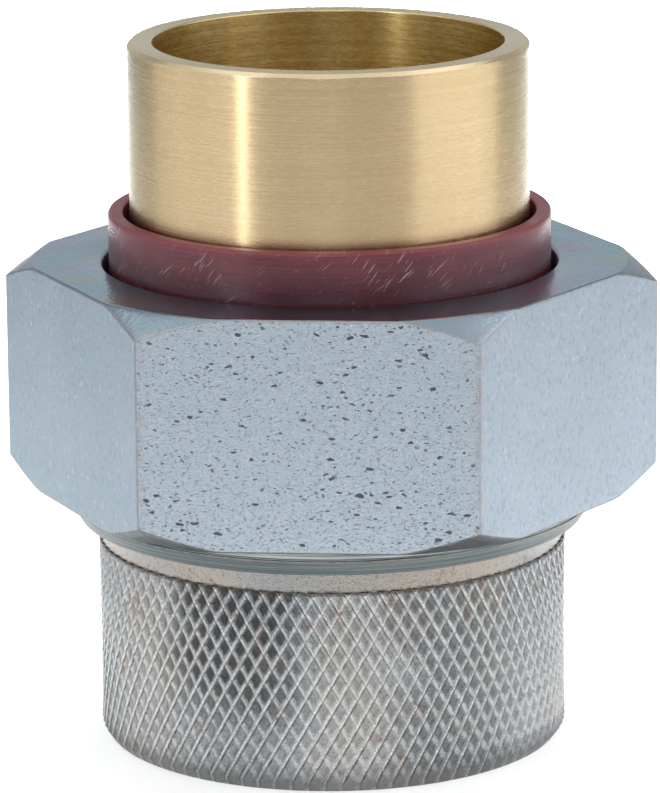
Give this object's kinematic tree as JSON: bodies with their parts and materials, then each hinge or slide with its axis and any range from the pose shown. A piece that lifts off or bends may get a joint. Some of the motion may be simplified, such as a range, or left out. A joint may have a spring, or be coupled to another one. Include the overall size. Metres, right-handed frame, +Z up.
{
  "type": "pipe union",
  "caption": "Dielectric pipe union with a brass solder cup, a plastic insulating sleeve, a hexagonal union nut and a knurled steel end with a female pipe thread.",
  "frame": {"origin": "centre of the lower end face, on the pipe axis", "axes": "+Z up the pipe axis towards the solder cup, two flats of the nut square to Y"},
  "size_m": [0.0778, 0.0674, 0.0836],
  "materials": {
    "turned_brass": "satin turned",
    "insulator_plastic": "satin moulded",
    "gasket_rubber": "matte",
    "zinc_plated_nut": "clear zinc plate",
    "zinc_plated_end": "clear zinc plate over a diamond knurl"
  },
  "bodies": {
    "lower_end": {"threaded_end": "zinc_plated_end", "gasket": "gasket_rubber"},
    "insulator": {"insulator_sleeve": "insulator_plastic"},
    "nut": {"union_nut": "zinc_plated_nut"},
    "tail": {"tailpiece": "turned_brass"}
  },
  "joints": [
    {"name": "nut_rise", "type": "slide", "parent": "lower_end", "child": "insulator", "axis": [0, 0, 1], "range_m": [0, 0.01693]},
    {"name": "nut_turn", "type": "hinge", "parent": "insulator", "child": "nut", "pos_m": [0, 0, 0.044], "axis": [0, 0, 1], "range_deg": [0, 2880]},
    {"name": "tailpiece_swivel", "type": "hinge", "parent": "insulator", "child": "tail", "pos_m": [0, 0, 0.0536], "axis": [0, 0, 1], "continuous": true}
  ],
  "couplings": [
    {"joint": "nut_rise", "follows": "nut_turn", "m_per_rad": 0.00033688}
  ]
}
